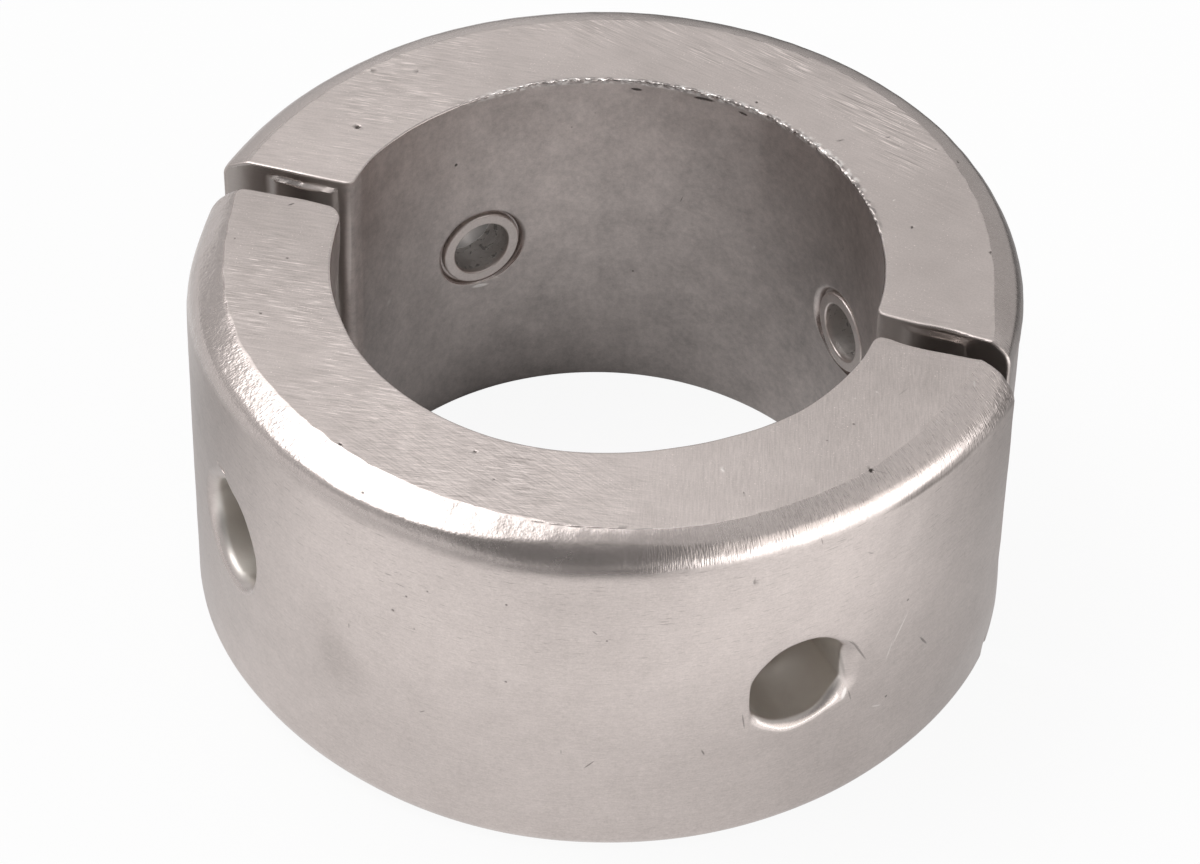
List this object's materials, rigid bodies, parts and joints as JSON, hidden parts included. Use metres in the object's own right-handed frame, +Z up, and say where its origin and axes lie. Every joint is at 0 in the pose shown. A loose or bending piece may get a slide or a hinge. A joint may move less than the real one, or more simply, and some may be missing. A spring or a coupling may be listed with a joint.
{
  "type": "sacrificial anode",
  "caption": "Split collar anode of cast zinc: two half rings with rounded outer edges, a plain bore and radial screw holes with steel bushes in round pockets.",
  "frame": {"origin": "axis of the bore, at the lower end face", "axes": "+Z up along the bore, X along the split between the halves, the front half on the -Y side"},
  "size_m": [0.0848, 0.085, 0.0418],
  "materials": {
    "zinc": "satin cast zinc, ground on the end faces",
    "bush_steel": "dull turned steel"
  },
  "bodies": {
    "root": {"rear_half": "zinc", "front_half": "zinc", "bush_rear_right": "bush_steel", "bush_rear_left": "bush_steel", "bush_front_left": "bush_steel", "bush_front_right": "bush_steel"}
  },
  "joints": []
}
